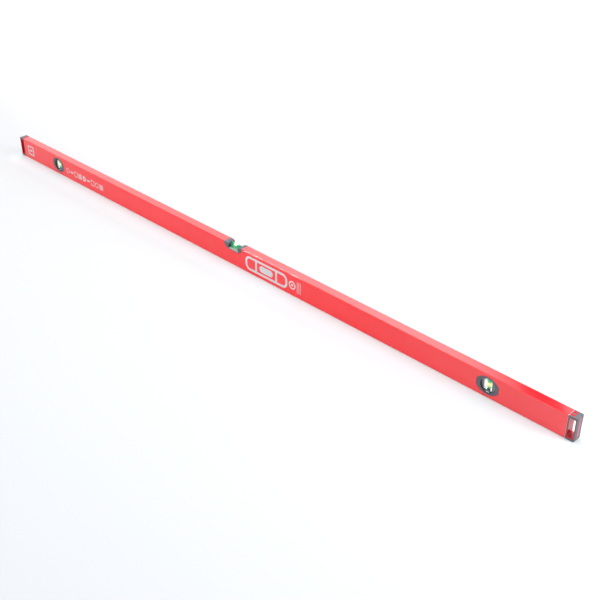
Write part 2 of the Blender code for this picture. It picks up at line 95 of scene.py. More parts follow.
cap_lo, cap_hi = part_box("right_end_cap_frame")
BUBBLE_LO, BUBBLE_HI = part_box("right_plumb_bubble")
CAP_START = PROFILE_END + GAP
END_FACE = cap_hi.x
TONGUE_START = cap_lo.x
HOLE_X = (HALF_LENGTH - 18.9 * MM, HALF_LENGTH - 2.4 * MM)
HOLE_Z = (4.6 * MM, 53.7 * MM)
HOLE_R = 3.2 * MM
LINER_THICK = 0.9 * MM
LINER_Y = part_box("right_end_cap_liner")[1].y
GRIP_Y, GRIP_W, GRIP_END = 5.2 * MM, 2.6 * MM, HALF_LENGTH - 9.1 * MM
PAD_HALF_W, PAD_WAVE, PAD_WAVES = 4.4 * MM, 1.4 * MM, 2
PAD_Z = (5.4 * MM, 56.0 * MM)


# ------------------------------------------------------------------ node tools
def new_material(name):
    mat = bpy.data.materials.new(name)
    mat.use_nodes = True
    tree = mat.node_tree
    return mat, tree, tree.nodes["Principled BSDF"]


def node(tree, kind, **inputs):
    made = tree.nodes.new(kind)
    for key, value in inputs.items():
        made.inputs[key.replace("_", " ")].default_value = value
    return made


def object_coords(tree, stretch=(1.0, 1.0, 1.0)):
    coords = tree.nodes.new("ShaderNodeTexCoord")
    mapping = tree.nodes.new("ShaderNodeMapping")
    mapping.inputs["Scale"].default_value = stretch
    tree.links.new(coords.outputs["Object"], mapping.inputs["Vector"])
    return mapping.outputs["Vector"]


def noise(tree, vector, scale, detail=2.0, roughness=0.5):
    tex = node(tree, "ShaderNodeTexNoise", Scale=scale, Detail=detail, Roughness=roughness)
    tree.links.new(vector, tex.inputs["Vector"])
    return tex.outputs["Fac"]


def remap(tree, value, low, high, out_low, out_high, smooth=False):
    mapped = tree.nodes.new("ShaderNodeMapRange")
    if smooth:
        mapped.interpolation_type = 'SMOOTHSTEP'
    mapped.inputs["From Min"].default_value = low
    mapped.inputs["From Max"].default_value = high
    mapped.inputs["To Min"].default_value = out_low
    mapped.inputs["To Max"].default_value = out_high
    tree.links.new(value, mapped.inputs["Value"])
    return mapped.outputs["Result"]


def mix_colour(tree, factor, a, b):
    mixed = tree.nodes.new("ShaderNodeMix")
    mixed.data_type = 'RGBA'
    for socket, value in ((mixed.inputs[6], a), (mixed.inputs[7], b)):
        if hasattr(value, "is_output"):
            tree.links.new(value, socket)
        else:
            socket.default_value = (*value, 1.0)
    tree.links.new(factor, mixed.inputs[0])
    return mixed.outputs[2]


def bump(tree, shader, height, strength, distance, previous=None):
    made = tree.nodes.new("ShaderNodeBump")
    made.inputs["Strength"].default_value = strength
    made.inputs["Distance"].default_value = distance
    tree.links.new(height, made.inputs["Height"])
    if previous is not None:
        tree.links.new(previous, made.inputs["Normal"])
    if shader is not None:
        tree.links.new(made.outputs["Normal"], shader.inputs["Normal"])
    return made.outputs["Normal"]


def math_node(tree, operation, a, b):
    made = tree.nodes.new("ShaderNodeMath")
    made.operation = operation
    for socket, value in ((made.inputs[0], a), (made.inputs[1], b)):
        if hasattr(value, "is_output"):
            tree.links.new(value, socket)
        else:
            socket.default_value = value
    return made.outputs[0]


# ------------------------------------------------------------------ materials
def powder_coat():
    """Red powder coat under a clear gloss: slight orange peel, fine grain, faint drift of tone."""
    mat, tree, shader = new_material("red_powder_coat")
    vector = object_coords(tree)
    drift = noise(tree, vector, 9.0, 3.0)
    grain = noise(tree, vector, 2600.0, 2.0)
    tone = mix_colour(tree, remap(tree, drift, 0.3, 0.7, 0.0, 1.0), (0.80, 0.015, 0.020), (0.84, 0.018, 0.024))
    # painted reflection: the side faces are painted paler and less red towards both ends, a sheen put into the coat
    # colour
    split = tree.nodes.new("ShaderNodeSeparateXYZ")
    tree.links.new(vector, split.inputs[0])
    ends = math_node(tree, 'MAXIMUM', remap(tree, split.outputs[0], 0.35, 1.0, 0.0, 1.0, True),
                     remap(tree, split.outputs[0], -0.45, -1.0, 0.0, 0.62, True))
    ends = math_node(tree, 'MULTIPLY', ends, remap(tree, split.outputs[2], 0.0573, 0.0579, 1.0, 0.0, True))
    tone = mix_colour(tree, ends, tone, (0.77, 0.058, 0.066))
    speck = mix_colour(tree, remap(tree, grain, 0.35, 0.75, 0.0, 0.35), tone, (0.88, 0.028, 0.034))
    tree.links.new(speck, shader.inputs["Base Color"])
    rough = remap(tree, noise(tree, vector, 420.0, 3.0), 0.3, 0.7, 0.34, 0.44)
    tree.links.new(rough, shader.inputs["Roughness"])
    shader.inputs["Specular IOR Level"].default_value = 0.0
    shader.inputs["Coat Weight"].default_value = 1.0
    shader.inputs["Coat Roughness"].default_value = 0.045
    shader.inputs["Coat IOR"].default_value = 1.54
    peel = bump(tree, None, noise(tree, vector, 700.0, 2.0), 0.10, 0.00005)
    bump(tree, shader, grain, 0.12, 0.00002, peel)
    tree.links.new(bump(tree, None, noise(tree, vector, 700.0, 2.0), 0.05, 0.00003), shader.inputs["Coat Normal"])
    return mat


def cut_aluminium():
    """Bare sawn edge of the extrusion."""
    mat, tree, shader = new_material("cut_aluminium")
    vector = object_coords(tree, (1.0, 6.0, 1.0))
    lines = noise(tree, vector, 1500.0, 4.0)
    tone = mix_colour(tree, remap(tree, lines, 0.3, 0.7, 0.0, 1.0), (0.72, 0.72, 0.73), (0.88, 0.88, 0.89))
    tree.links.new(tone, shader.inputs["Base Color"])
    tree.links.new(remap(tree, lines, 0.3, 0.7, 0.28, 0.45), shader.inputs["Roughness"])
    shader.inputs["Metallic"].default_value = 1.0
    bump(tree, shader, lines, 0.25, 0.00003)
    return mat


def moulded(name, dark, light, rough_low, rough_high, grain_scale=2200.0, strength=0.2, gloss=0.5):
    """Moulded plastic with a spark-eroded grain."""
    mat, tree, shader = new_material(name)
    vector = object_coords(tree)
    cloud = noise(tree, vector, 60.0, 3.0)
    grain = noise(tree, vector, grain_scale, 3.0, 0.6)
    tone = mix_colour(tree, remap(tree, cloud, 0.3, 0.7, 0.0, 1.0), dark, light)
    lift = [min(1.0, c * 1.25 + 0.01) for c in light]
    tone = mix_colour(tree, remap(tree, grain, 0.45, 0.8, 0.0, 0.5), tone, lift)
    tree.links.new(tone, shader.inputs["Base Color"])
    tree.links.new(remap(tree, grain, 0.3, 0.7, rough_low, rough_high), shader.inputs["Roughness"])
    shader.inputs["Specular IOR Level"].default_value = gloss
    bump(tree, shader, grain, strength, 0.00004)
    return mat


def soft_red(name, dark, light, rough_low, rough_high, gloss=0.5, coat=0.0):
    """Red elastomer, slightly waxy, with a fine grain."""
    mat, tree, shader = new_material(name)
    vector = object_coords(tree)
    cloud = noise(tree, vector, 90.0, 3.0)
    grain = noise(tree, vector, 3000.0, 2.0)
    tone = mix_colour(tree, remap(tree, cloud, 0.3, 0.7, 0.0, 1.0), dark, light)
    tree.links.new(tone, shader.inputs["Base Color"])
    tree.links.new(remap(tree, grain, 0.3, 0.7, rough_low, rough_high), shader.inputs["Roughness"])
    shader.inputs["Specular IOR Level"].default_value = gloss
    shader.inputs["Coat Weight"].default_value = coat
    shader.inputs["Coat Roughness"].default_value = 0.04
    bump(tree, shader, grain, 0.12, 0.00003)
    return mat


def acrylic():
    """Clear cast acrylic with faint polishing haze."""
    mat, tree, shader = new_material("clear_acrylic")
    vector = object_coords(tree)
    haze = noise(tree, vector, 500.0, 3.0)
    tone = mix_colour(tree, remap(tree, haze, 0.3, 0.7, 0.0, 1.0), (0.96, 0.985, 0.98), (0.99, 1.0, 0.995))
    tree.links.new(tone, shader.inputs["Base Color"])
    tree.links.new(remap(tree, haze, 0.3, 0.8, 0.0, 0.035), shader.inputs["Roughness"])
    shader.inputs["IOR"].default_value = 1.49
    shader.inputs["Transmission Weight"].default_value = 1.0
    return mat


def liquid(name, axis, centre, half, inner, edge, outer, painted_glow, fade=0.5 * MM):
    """Vial liquid: pale between the index rings as painted light, deeper green outside them and darker still towards
    the ends as painted shade, with painted emission.
    """
    mat, tree, shader = new_material(name)
    coords = tree.nodes.new("ShaderNodeTexCoord")
    split = tree.nodes.new("ShaderNodeSeparateXYZ")
    tree.links.new(coords.outputs["Object"], split.inputs[0])
    along = math_node(tree, 'ABSOLUTE', math_node(tree, 'SUBTRACT', split.outputs[axis], centre), 0.0)
    painted_light_zone = remap(tree, along, half - fade, half + fade, 0.0, 1.0, True)
    # painted shade: the liquid darkens further towards the ends of the vial
    painted_end_shade = remap(tree, along, half, half * 2.6, 0.0, 1.0, True)
    swirl = remap(tree, noise(tree, coords.outputs["Object"], 300.0, 2.0), 0.3, 0.7, 0.0, 1.0)
    pale = mix_colour(tree, swirl, inner, [min(1.0, c * 1.06 + 0.01) for c in inner])
    green = mix_colour(tree, painted_end_shade, edge, outer)
    tone = mix_colour(tree, painted_light_zone, pale, green)
    tree.links.new(tone, shader.inputs["Base Color"])
    tree.links.new(tone, shader.inputs["Emission Color"])
    # painted emission: the liquid gives off light in its own colour
    shader.inputs["Emission Strength"].default_value = painted_glow
    shader.inputs["Roughness"].default_value = 0.05
    shader.inputs["IOR"].default_value = 1.08
    shader.inputs["Transmission Weight"].default_value = 0.5
    return mat


def air(centre, half):
    """Air bubble: nearly clear, its skin brightened by painted emission, with a darker meniscus at each end painted as
    shade.
    """
    mat, tree, shader = new_material("air_bubble")
    vector = object_coords(tree)
    film = noise(tree, vector, 800.0, 1.0)
    tone = mix_colour(tree, remap(tree, film, 0.3, 0.7, 0.0, 1.0), (0.93, 1.0, 0.80), (1.0, 1.0, 0.92))
    split = tree.nodes.new("ShaderNodeSeparateXYZ")
    tree.links.new(vector, split.inputs[0])
    along = math_node(tree, 'ABSOLUTE', math_node(tree, 'SUBTRACT', split.outputs[2], centre), 0.0)
    # painted shade: dark green at each end of the bubble
    tone = mix_colour(tree, remap(tree, along, half - 1.1 * MM, half - 0.5 * MM, 0.0, 1.0, True), tone, (0.12, 0.50, 0.18))
    tree.links.new(tone, shader.inputs["Base Color"])
    tree.links.new(tone, shader.inputs["Emission Color"])
    # painted emission: the bubble gives off light
    shader.inputs["Emission Strength"].default_value = 0.12
    shader.inputs["Roughness"].default_value = 0.02
    shader.inputs["IOR"].default_value = 1.30
    shader.inputs["Transmission Weight"].default_value = 0.85
    return mat


def air_flat(half, dome, reach):
    """Long flat bubble seen against the liquid: bright inside with painted emission, and a dark green meniscus round it
    painted as shade.
    """
    mat, tree, shader = new_material("air_bubble_flat")
    coords = tree.nodes.new("ShaderNodeTexCoord")
    split = tree.nodes.new("ShaderNodeSeparateXYZ")
    tree.links.new(coords.outputs["Object"], split.inputs[0])
    across = math_node(tree, 'DIVIDE', split.outputs[1], reach)
    along = remap(tree, math_node(tree, 'ABSOLUTE', split.outputs[0], 0.0), half - dome, half, 0.0, 1.0)
    edge = math_node(tree, 'SQRT', math_node(tree, 'ADD', math_node(tree, 'MULTIPLY', across, across),
                                             math_node(tree, 'MULTIPLY', along, along)), 0.0)
    # painted shade: a dark green rim round the bubble's outline
    rim = remap(tree, edge, 0.84, 0.95, 0.0, 1.0, True)
    film = remap(tree, noise(tree, coords.outputs["Object"], 500.0, 1.0), 0.3, 0.7, 0.0, 1.0)
    white = mix_colour(tree, film, (0.84, 0.95, 0.86), (0.94, 0.99, 0.94))
    tone = mix_colour(tree, rim, white, (0.01, 0.20, 0.10))
    tree.links.new(tone, shader.inputs["Base Color"])
    tree.links.new(tone, shader.inputs["Emission Color"])
    # painted emission: the bubble gives off light
    shader.inputs["Emission Strength"].default_value = 0.24
    shader.inputs["Roughness"].default_value = 0.03
    shader.inputs["IOR"].default_value = 1.2
    shader.inputs["Transmission Weight"].default_value = 0.15
    return mat


def silver_ink():
    """Screen-printed silver marks."""
    mat, tree, shader = new_material("silver_ink")
    vector = object_coords(tree)
    speck = noise(tree, vector, 1800.0, 3.0)
    tone = mix_colour(tree, remap(tree, speck, 0.3, 0.7, 0.0, 1.0), (0.56, 0.58, 0.60), (0.68, 0.69, 0.71))
    tree.links.new(tone, shader.inputs["Base Color"])
    tree.links.new(remap(tree, speck, 0.3, 0.7, 0.34, 0.5), shader.inputs["Roughness"])
    shader.inputs["Metallic"].default_value = 0.25
    bump(tree, shader, speck, 0.15, 0.00002)
    return mat


def white_plastic():
    mat = moulded("white_reflector", (0.80, 0.81, 0.80), (0.88, 0.88, 0.87), 0.3, 0.42, 1500.0, 0.1)
    return mat


RED = powder_coat()
CUT = cut_aluminium()
GREY = moulded("grey_plastic", (0.104, 0.109, 0.128), (0.118, 0.123, 0.143), 0.46, 0.60, gloss=0.16)
DARK = moulded("dark_grey_plastic", (0.030, 0.031, 0.033), (0.042, 0.043, 0.046), 0.38, 0.52)
SOFT = soft_red("red_soft_plastic", (0.56, 0.004, 0.009), (0.62, 0.006, 0.012), 0.40, 0.52, 0.12)
LINING = soft_red("red_hole_lining", (0.50, 0.003, 0.008), (0.56, 0.005, 0.011), 0.06, 0.10, 0.45, 0.7)
# the red end pad is paled towards pink: painted reflection of the bright surroundings on red soft plastic
PAD_PAINTED_SHEEN = soft_red("red_end_pad_painted_sheen", (0.35, 0.115, 0.145), (0.40, 0.132, 0.166), 0.40, 0.52, 0.4)
CARRIER = moulded("light_grey_plastic", (0.27, 0.275, 0.285), (0.32, 0.325, 0.335), 0.40, 0.55)
CLEAR = acrylic()
AIR = air((BUBBLE_LO.z + BUBBLE_HI.z) / 2, (BUBBLE_HI.z - BUBBLE_LO.z) / 2)
SILVER = silver_ink()
WHITE = white_plastic()
# the white plate under the vial is toned down to mid grey: painted shade under the vial
PLATE_PAINTED_SHADE = moulded("white_plate_under_vial_painted_shade", (0.46, 0.47, 0.46), (0.54, 0.55, 0.54), 0.45, 0.6, 900.0, 0.1, gloss=0.2)
BLACK = moulded("index_ring_black", (0.006, 0.006, 0.007), (0.012, 0.012, 0.013), 0.4, 0.55, 1500.0, 0.1)
# vial liquids: painted light between the rings, painted shade towards the ends, and painted emission
LEVEL_LIQUID = liquid("level_vial_liquid_colour", 0, 0.0, LV_RING_X, (0.12, 0.68, 0.28), (0.010, 0.50, 0.20),
                      (0.003, 0.11, 0.055), 0.20)
PLUMB_LIQUID = liquid("plumb_vial_liquid_colour", 2, PLUMB_Z, PV_RING_Z, (0.93, 0.95, 0.40), (0.04, 0.50, 0.22),
                      (0.02, 0.33, 0.16), 0.30)


# ------------------------------------------------------------------ mesh tools
def to_axis(axis, u, v, w):
    if axis == "X":
        return Vector((w, u, v))
    if axis == "Y":
        return Vector((u, w, v))
    return Vector((u, v, w))


def prism(outline, w0, w1, axis="Y"):
    bm = bmesh.new()
    low = [bm.verts.new(to_axis(axis, u, v, w0)) for u, v in outline]
    high = [bm.verts.new(to_axis(axis, u, v, w1)) for u, v in outline]
    bm.faces.new(low)
    bm.faces.new(list(reversed(high)))
    count = len(outline)
    for i in range(count):
        j = (i + 1) % count
        bm.faces.new((low[i], high[i], high[j], low[j]))
    bmesh.ops.recalc_face_normals(bm, faces=bm.faces)
    return bm


def block(x0, x1, y0, y1, z0, z1):
    return prism([(x0, z0), (x1, z0), (x1, z1), (x0, z1)], y0, y1, "Y")


def circle(cu, cv, radius, count):
    return [(cu + radius * math.cos(2 * math.pi * i / count),
             cv + radius * math.sin(2 * math.pi * i / count)) for i in range(count)]


def rounded_rect(u0, u1, v0, v1, radius, steps=8):
    points = []
    for cu, cv, start in ((u1 - radius, v1 - radius, 0.0), (u0 + radius, v1 - radius, 90.0),
                          (u0 + radius, v0 + radius, 180.0), (u1 - radius, v0 + radius, 270.0)):
        for k in range(steps + 1):
            a = math.radians(start + 90.0 * k / steps)
            points.append((cu + radius * math.cos(a), cv + radius * math.sin(a)))
    return points


def scratch(bm):
    mesh = bpy.data.meshes.new("operand")
    bm.to_mesh(mesh)
    bm.free()
    obj = bpy.data.objects.new("operand", mesh)
    bpy.context.scene.collection.objects.link(obj)
    return obj


def combine(base_bm, steps):
    """Boolean steps [(operation, bmesh), ...] on a closed bmesh."""
    base = scratch(base_bm)
    for operation, bm in steps:
        tool = scratch(bm)
        mod = base.modifiers.new("cut", 'BOOLEAN')
        mod.operation = operation
        mod.solver = 'EXACT'
        mod.object = tool
        graph = bpy.context.evaluated_depsgraph_get()
        graph.update()
        result = bpy.data.meshes.new_from_object(base.evaluated_get(graph))
        base.modifiers.clear()
        spent = base.data
        base.data = result
        bpy.data.meshes.remove(spent)
        tool_mesh = tool.data
        bpy.data.objects.remove(tool, do_unlink=True)
        bpy.data.meshes.remove(tool_mesh)
    out = bmesh.new()
    out.from_mesh(base.data)
    last = base.data
    bpy.data.objects.remove(base, do_unlink=True)
    bpy.data.meshes.remove(last)
    bmesh.ops.remove_doubles(out, verts=out.verts, dist=0.000002)
    bmesh.ops.dissolve_limit(out, angle_limit=math.radians(0.3), verts=out.verts, edges=out.edges)
    return out


def mirrored(bm, axis):
    bmesh.ops.transform(bm, matrix=Matrix.Scale(-1.0, 4, axis), verts=bm.verts)
    bmesh.ops.reverse_faces(bm, faces=bm.faces)
    return bm


def round_edges(bm, width, segments=2, angle=35.0, where=None):
    """Small radius on every edge sharper than the angle."""
    limit = math.radians(angle)
    edges = [e for e in bm.edges
             if len(e.link_faces) == 2 and e.calc_face_angle(0.0) > limit and (where is None or where(e))]
    if edges:
        bmesh.ops.bevel(bm, geom=edges, offset=width, offset_type='OFFSET', segments=segments,
                        profile=0.5, affect='EDGES', clamp_overlap=True)
    return bm


def piece(name, bm, mats, body, nodes, face_slot=None, weighted=True, sharp=40.0):
    """Make a shown object from a bmesh in the row frame and give it its CAD body."""
    bmesh.ops.recalc_face_normals(bm, faces=bm.faces)
    mesh = bpy.data.meshes.new(name)
    if face_slot is not None:
        for face in bm.faces:
            face.material_index = face_slot(face)
    bm.to_mesh(mesh)
    bm.free()
    for mat in (mats if isinstance(mats, (list, tuple)) else [mats]):
        mesh.materials.append(mat)
    mesh.shade_smooth()
    mesh.set_sharp_from_angle(angle=math.radians(sharp))
    obj = bpy.data.objects.new(name, mesh)
    bpy.context.scene.collection.objects.link(obj)
    if weighted:
        mod = obj.modifiers.new("flat_faces_stay_flat", 'WEIGHTED_NORMAL')
        mod.keep_sharp = True
        mod.weight = 60
    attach(obj, body)
    if nodes:
        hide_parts(*nodes)
    return obj


def lathe(axis, centre, profile, count=64):
    """Closed turned solid. profile is (w along the axis, radius); radius 0 at both ends."""
    bm = bmesh.new()
    loops = []
    for w, r in profile:
        if r <= 1e-9:
            loops.append([bm.verts.new(Vector(centre) + to_axis(axis, 0.0, 0.0, w))])
        else:
            loops.append([bm.verts.new(Vector(centre) + to_axis(
                axis, r * math.cos(2 * math.pi * i / count), r * math.sin(2 * math.pi * i / count), w))
                for i in range(count)])
    for a, b in zip(loops[:-1], loops[1:]):
        for i in range(count):
            j = (i + 1) % count
            if len(a) == 1:
                bm.faces.new((a[0], b[i], b[j]))
            elif len(b) == 1:
                bm.faces.new((a[i], a[j], b[0]))
            else:
                bm.faces.new((a[i], a[j], b[j], b[i]))
    bmesh.ops.recalc_face_normals(bm, faces=bm.faces)
    return bm


def rounded_bar(half, radius, edge, steps=5):
    """Profile of a cylinder with rounded end edges, for lathe()."""
    points = [(-half, 0.0)]
    for k in range(steps + 1):
        a = math.pi / 2 * k / steps
        points.append((-half + edge * (1 - math.cos(a)), radius - edge * (1 - math.sin(a))))
    rest = [(-w, r) for w, r in reversed(points)]
    return points + rest


def torus(axis, centre, major, minor_r, minor_w, count=72, tube=12):
    bm = bmesh.new()
    loops = []
    for i in range(count):
        a = 2 * math.pi * i / count
        loop = []
        for k in range(tube):
            b = 2 * math.pi * k / tube
            # squarish section
            cb, sb = math.cos(b), math.sin(b)
            p = 0.5
            du = math.copysign(abs(cb) ** p, cb) * minor_r
            dw = math.copysign(abs(sb) ** p, sb) * minor_w
            loop.append(bm.verts.new(Vector(centre) + to_axis(
                axis, (major + du) * math.cos(a), (major + du) * math.sin(a), dw)))
        loops.append(loop)
    for i in range(count):
        a, b = loops[i], loops[(i + 1) % count]
        for k in range(tube):
            m = (k + 1) % tube
            bm.faces.new((a[k], a[m], b[m], b[k]))
    bmesh.ops.recalc_face_normals(bm, faces=bm.faces)
    return bm


def ellipsoid_bar(axis, centre, half, ru, rv, dome, count=40, rings=12):
    """Bubble: an elliptical bar with long domed ends."""
    bm = bmesh.new()
    stations = []
    for k in range(1, rings + 1):
        a = math.pi / 2 * k / rings
        stations.append((-half + dome * (1 - math.cos(a)), math.sin(a)))
    stations += [(-w, s) for w, s in reversed(stations)]
    loops = []
    for w, s in stations:
        loops.append([bm.verts.new(Vector(centre) + to_axis(
            axis, ru * s * math.cos(2 * math.pi * i / count), rv * s * math.sin(2 * math.pi * i / count), w))
            for i in range(count)])
    for a, b in zip(loops[:-1], loops[1:]):
        for i in range(count):
            j = (i + 1) % count
            bm.faces.new((a[i], a[j], b[j], b[i]))
    start = bm.verts.new(Vector(centre) + to_axis(axis, 0.0, 0.0, -half))
    end = bm.verts.new(Vector(centre) + to_axis(axis, 0.0, 0.0, half))
    for i in range(count):
        j = (i + 1) % count
        bm.faces.new((start, loops[0][j], loops[0][i]))
        bm.faces.new((end, loops[-1][i], loops[-1][j]))
    bmesh.ops.recalc_face_normals(bm, faces=bm.faces)
    return bm


def flat_bubble(half, dome, reach, radius, z_axis, rings=10, arc=20):
    """Bubble under the top of a level bore: round top, flat underside, rounded plan."""
    bm = bmesh.new()
    stations = [(half - dome + dome * math.sin(math.pi / 2 * k / rings), math.cos(math.pi / 2 * k / rings))
                for k in range(rings)]
    stations = [(-x, w) for x, w in reversed(stations)] + stations
    loops = []
    for x, w in stations:
        limit = math.asin(reach * w / radius)
        loops.append([bm.verts.new((x, radius * math.sin(-limit + 2 * limit * j / arc),
                                    z_axis + radius * math.cos(-limit + 2 * limit * j / arc)))
                      for j in range(arc + 1)])
    for a, b in zip(loops[:-1], loops[1:]):
        for j in range(arc):
            bm.faces.new((a[j], a[j + 1], b[j + 1], b[j]))
        bm.faces.new((a[0], b[0], b[arc], a[arc]))
    for x, loop in ((-half, loops[0]), (half, loops[-1])):
        tip = bm.verts.new((x, 0.0, z_axis + radius))
        for j in range(arc):
            bm.faces.new((tip, loop[j], loop[j + 1]))
        bm.faces.new((tip, loop[arc], loop[0]))
    bmesh.ops.recalc_face_normals(bm, faces=bm.faces)
    return bm


# ------------------------------------------------------------------ outlines
def lens_outline(cx, inset=0.0, steps=36):
    half_w = PLUMB_HALF_W - inset
    half_h = PLUMB_HALF_H - inset
    flat = PLUMB_FLAT - inset * 0.4
    drop = (half_w ** 2 + flat ** 2 - half_h ** 2) / (2 * (half_h - flat))
    radius = half_h + drop
    reach = math.asin(half_w / radius)
    # the two short ends are straight uprights where the arcs meet
    points = []
    for k in range(steps + 1):
        a = reach - 2 * reach * k / steps
        points.append((cx + radius * math.sin(a), PLUMB_Z - drop + radius * math.cos(a)))
    for k in range(steps + 1):
        a = -reach + 2 * reach * k / steps
        points.append((cx + radius * math.sin(a), PLUMB_Z + drop - radius * math.cos(a)))
    return points


def notch_arc(side, radius, z_top, steps=28):
    centre = NOTCH_HALF - NOTCH_R
    start = math.asin(max(-1.0, min(1.0, (z_top - HEIGHT) / radius)))
    points = []
    for k in range(steps + 1):
        a = start + (-math.pi / 2 - start) * k / steps
        points.append((side * (centre + radius * math.cos(a)), HEIGHT + radius * math.sin(a)))
    return points


# ------------------------------------------------------------------ box section
def cavity_outline():
    rib_depth, rib_height = 1.2 * MM, 1.6 * MM

    def side(sign, levels):
        points = []
        for level, up in levels:
            h = rib_height / 2 * up
            points.append((sign * CAVITY_Y, level - h))
            for k in range(5):
                t = -1 + 2 * k / 4
                points.append((sign * (CAVITY_Y - rib_depth * (0.75 + 0.25 * math.cos(t * math.pi / 2))),
                               level + h * 0.6 * t))
            points.append((sign * CAVITY_Y, level + h))
        return points
    z0, z1 = FACE_WALL, HEIGHT - FACE_WALL
    levels = (14.0 * MM, 44.0 * MM)
    return ([(-CAVITY_Y, z0), (CAVITY_Y, z0)] + side(1, [(levels[0], 1), (levels[1], 1)])
            + [(CAVITY_Y, z1), (-CAVITY_Y, z1)] + side(-1, [(levels[1], -1), (levels[0], -1)]))


def build_profile():
    notch = (notch_arc(-1, NOTCH_R, HEIGHT) + list(reversed(notch_arc(1, NOTCH_R, HEIGHT)))
             + [(NOTCH_HALF, HEIGHT + 5 * MM), (-NOTCH_HALF, HEIGHT + 5 * MM)])
    bm = combine(prism(rounded_rect(-HALF_Y, HALF_Y, 0.0, HEIGHT, 0.8 * MM, 6), -PROFILE_END, PROFILE_END, "X"), [
        ('DIFFERENCE', prism(cavity_outline(), -PROFILE_END - 5 * MM, PROFILE_END + 5 * MM, "X")),
        ('DIFFERENCE', prism(notch, -3 * HALF_Y, 3 * HALF_Y, "Y")),
        ('DIFFERENCE', prism(lens_outline(-PLUMB_X), -3 * HALF_Y, 3 * HALF_Y, "Y")),
        ('DIFFERENCE', prism(lens_outline(PLUMB_X), -3 * HALF_Y, 3 * HALF_Y, "Y")),
        ('DIFFERENCE', block(-36 * MM, 36 * MM, -CAVITY_Y - 0.01 * MM, CAVITY_Y + 0.01 * MM,
                             30 * MM, HEIGHT - FACE_WALL - 0.5 * MM)),
    ])

    def cut_rim(e):
        """Edges where a cut meets the outer skin."""
        return all(abs(abs(v.co.y) - HALF_Y) < 1e-5 or abs(v.co.z - HEIGHT) < 1e-5 for v in e.verts) \
            and not all(abs(abs(v.co.x) - PROFILE_END) < 1e-5 for v in e.verts)

    def sawn_rim(e):
        """Deburred outer edge of both sawn ends."""
        return all(abs(abs(v.co.x) - PROFILE_END) < 1e-5 for v in e.verts) \
            and any(abs(abs(v.co.y) - HALF_Y) < 1e-3 or v.co.z > HEIGHT - 1e-3 or v.co.z < 1e-3 for v in e.verts) \
            and not any(abs(v.co.y) < CAVITY_Y + 1e-5 and FACE_WALL - 1e-5 < v.co.z < HEIGHT - FACE_WALL + 1e-5
                        for v in e.verts)
    round_edges(bm, 0.18 * MM, 2, 40.0, cut_rim)
    round_edges(bm, 0.28 * MM, 1, 40.0, sawn_rim)

    def bare(face):
        """Bare metal shows on the sawn ends and their deburred rim."""
        c = face.calc_center_median()
        return 1 if abs(face.normal.x) > 0.5 and abs(abs(c.x) - PROFILE_END) < 0.4 * MM else 0
    return piece("profile_extrusion", bm, [RED, CUT], "level", ["profile"], bare)


PROFILE = build_profile()


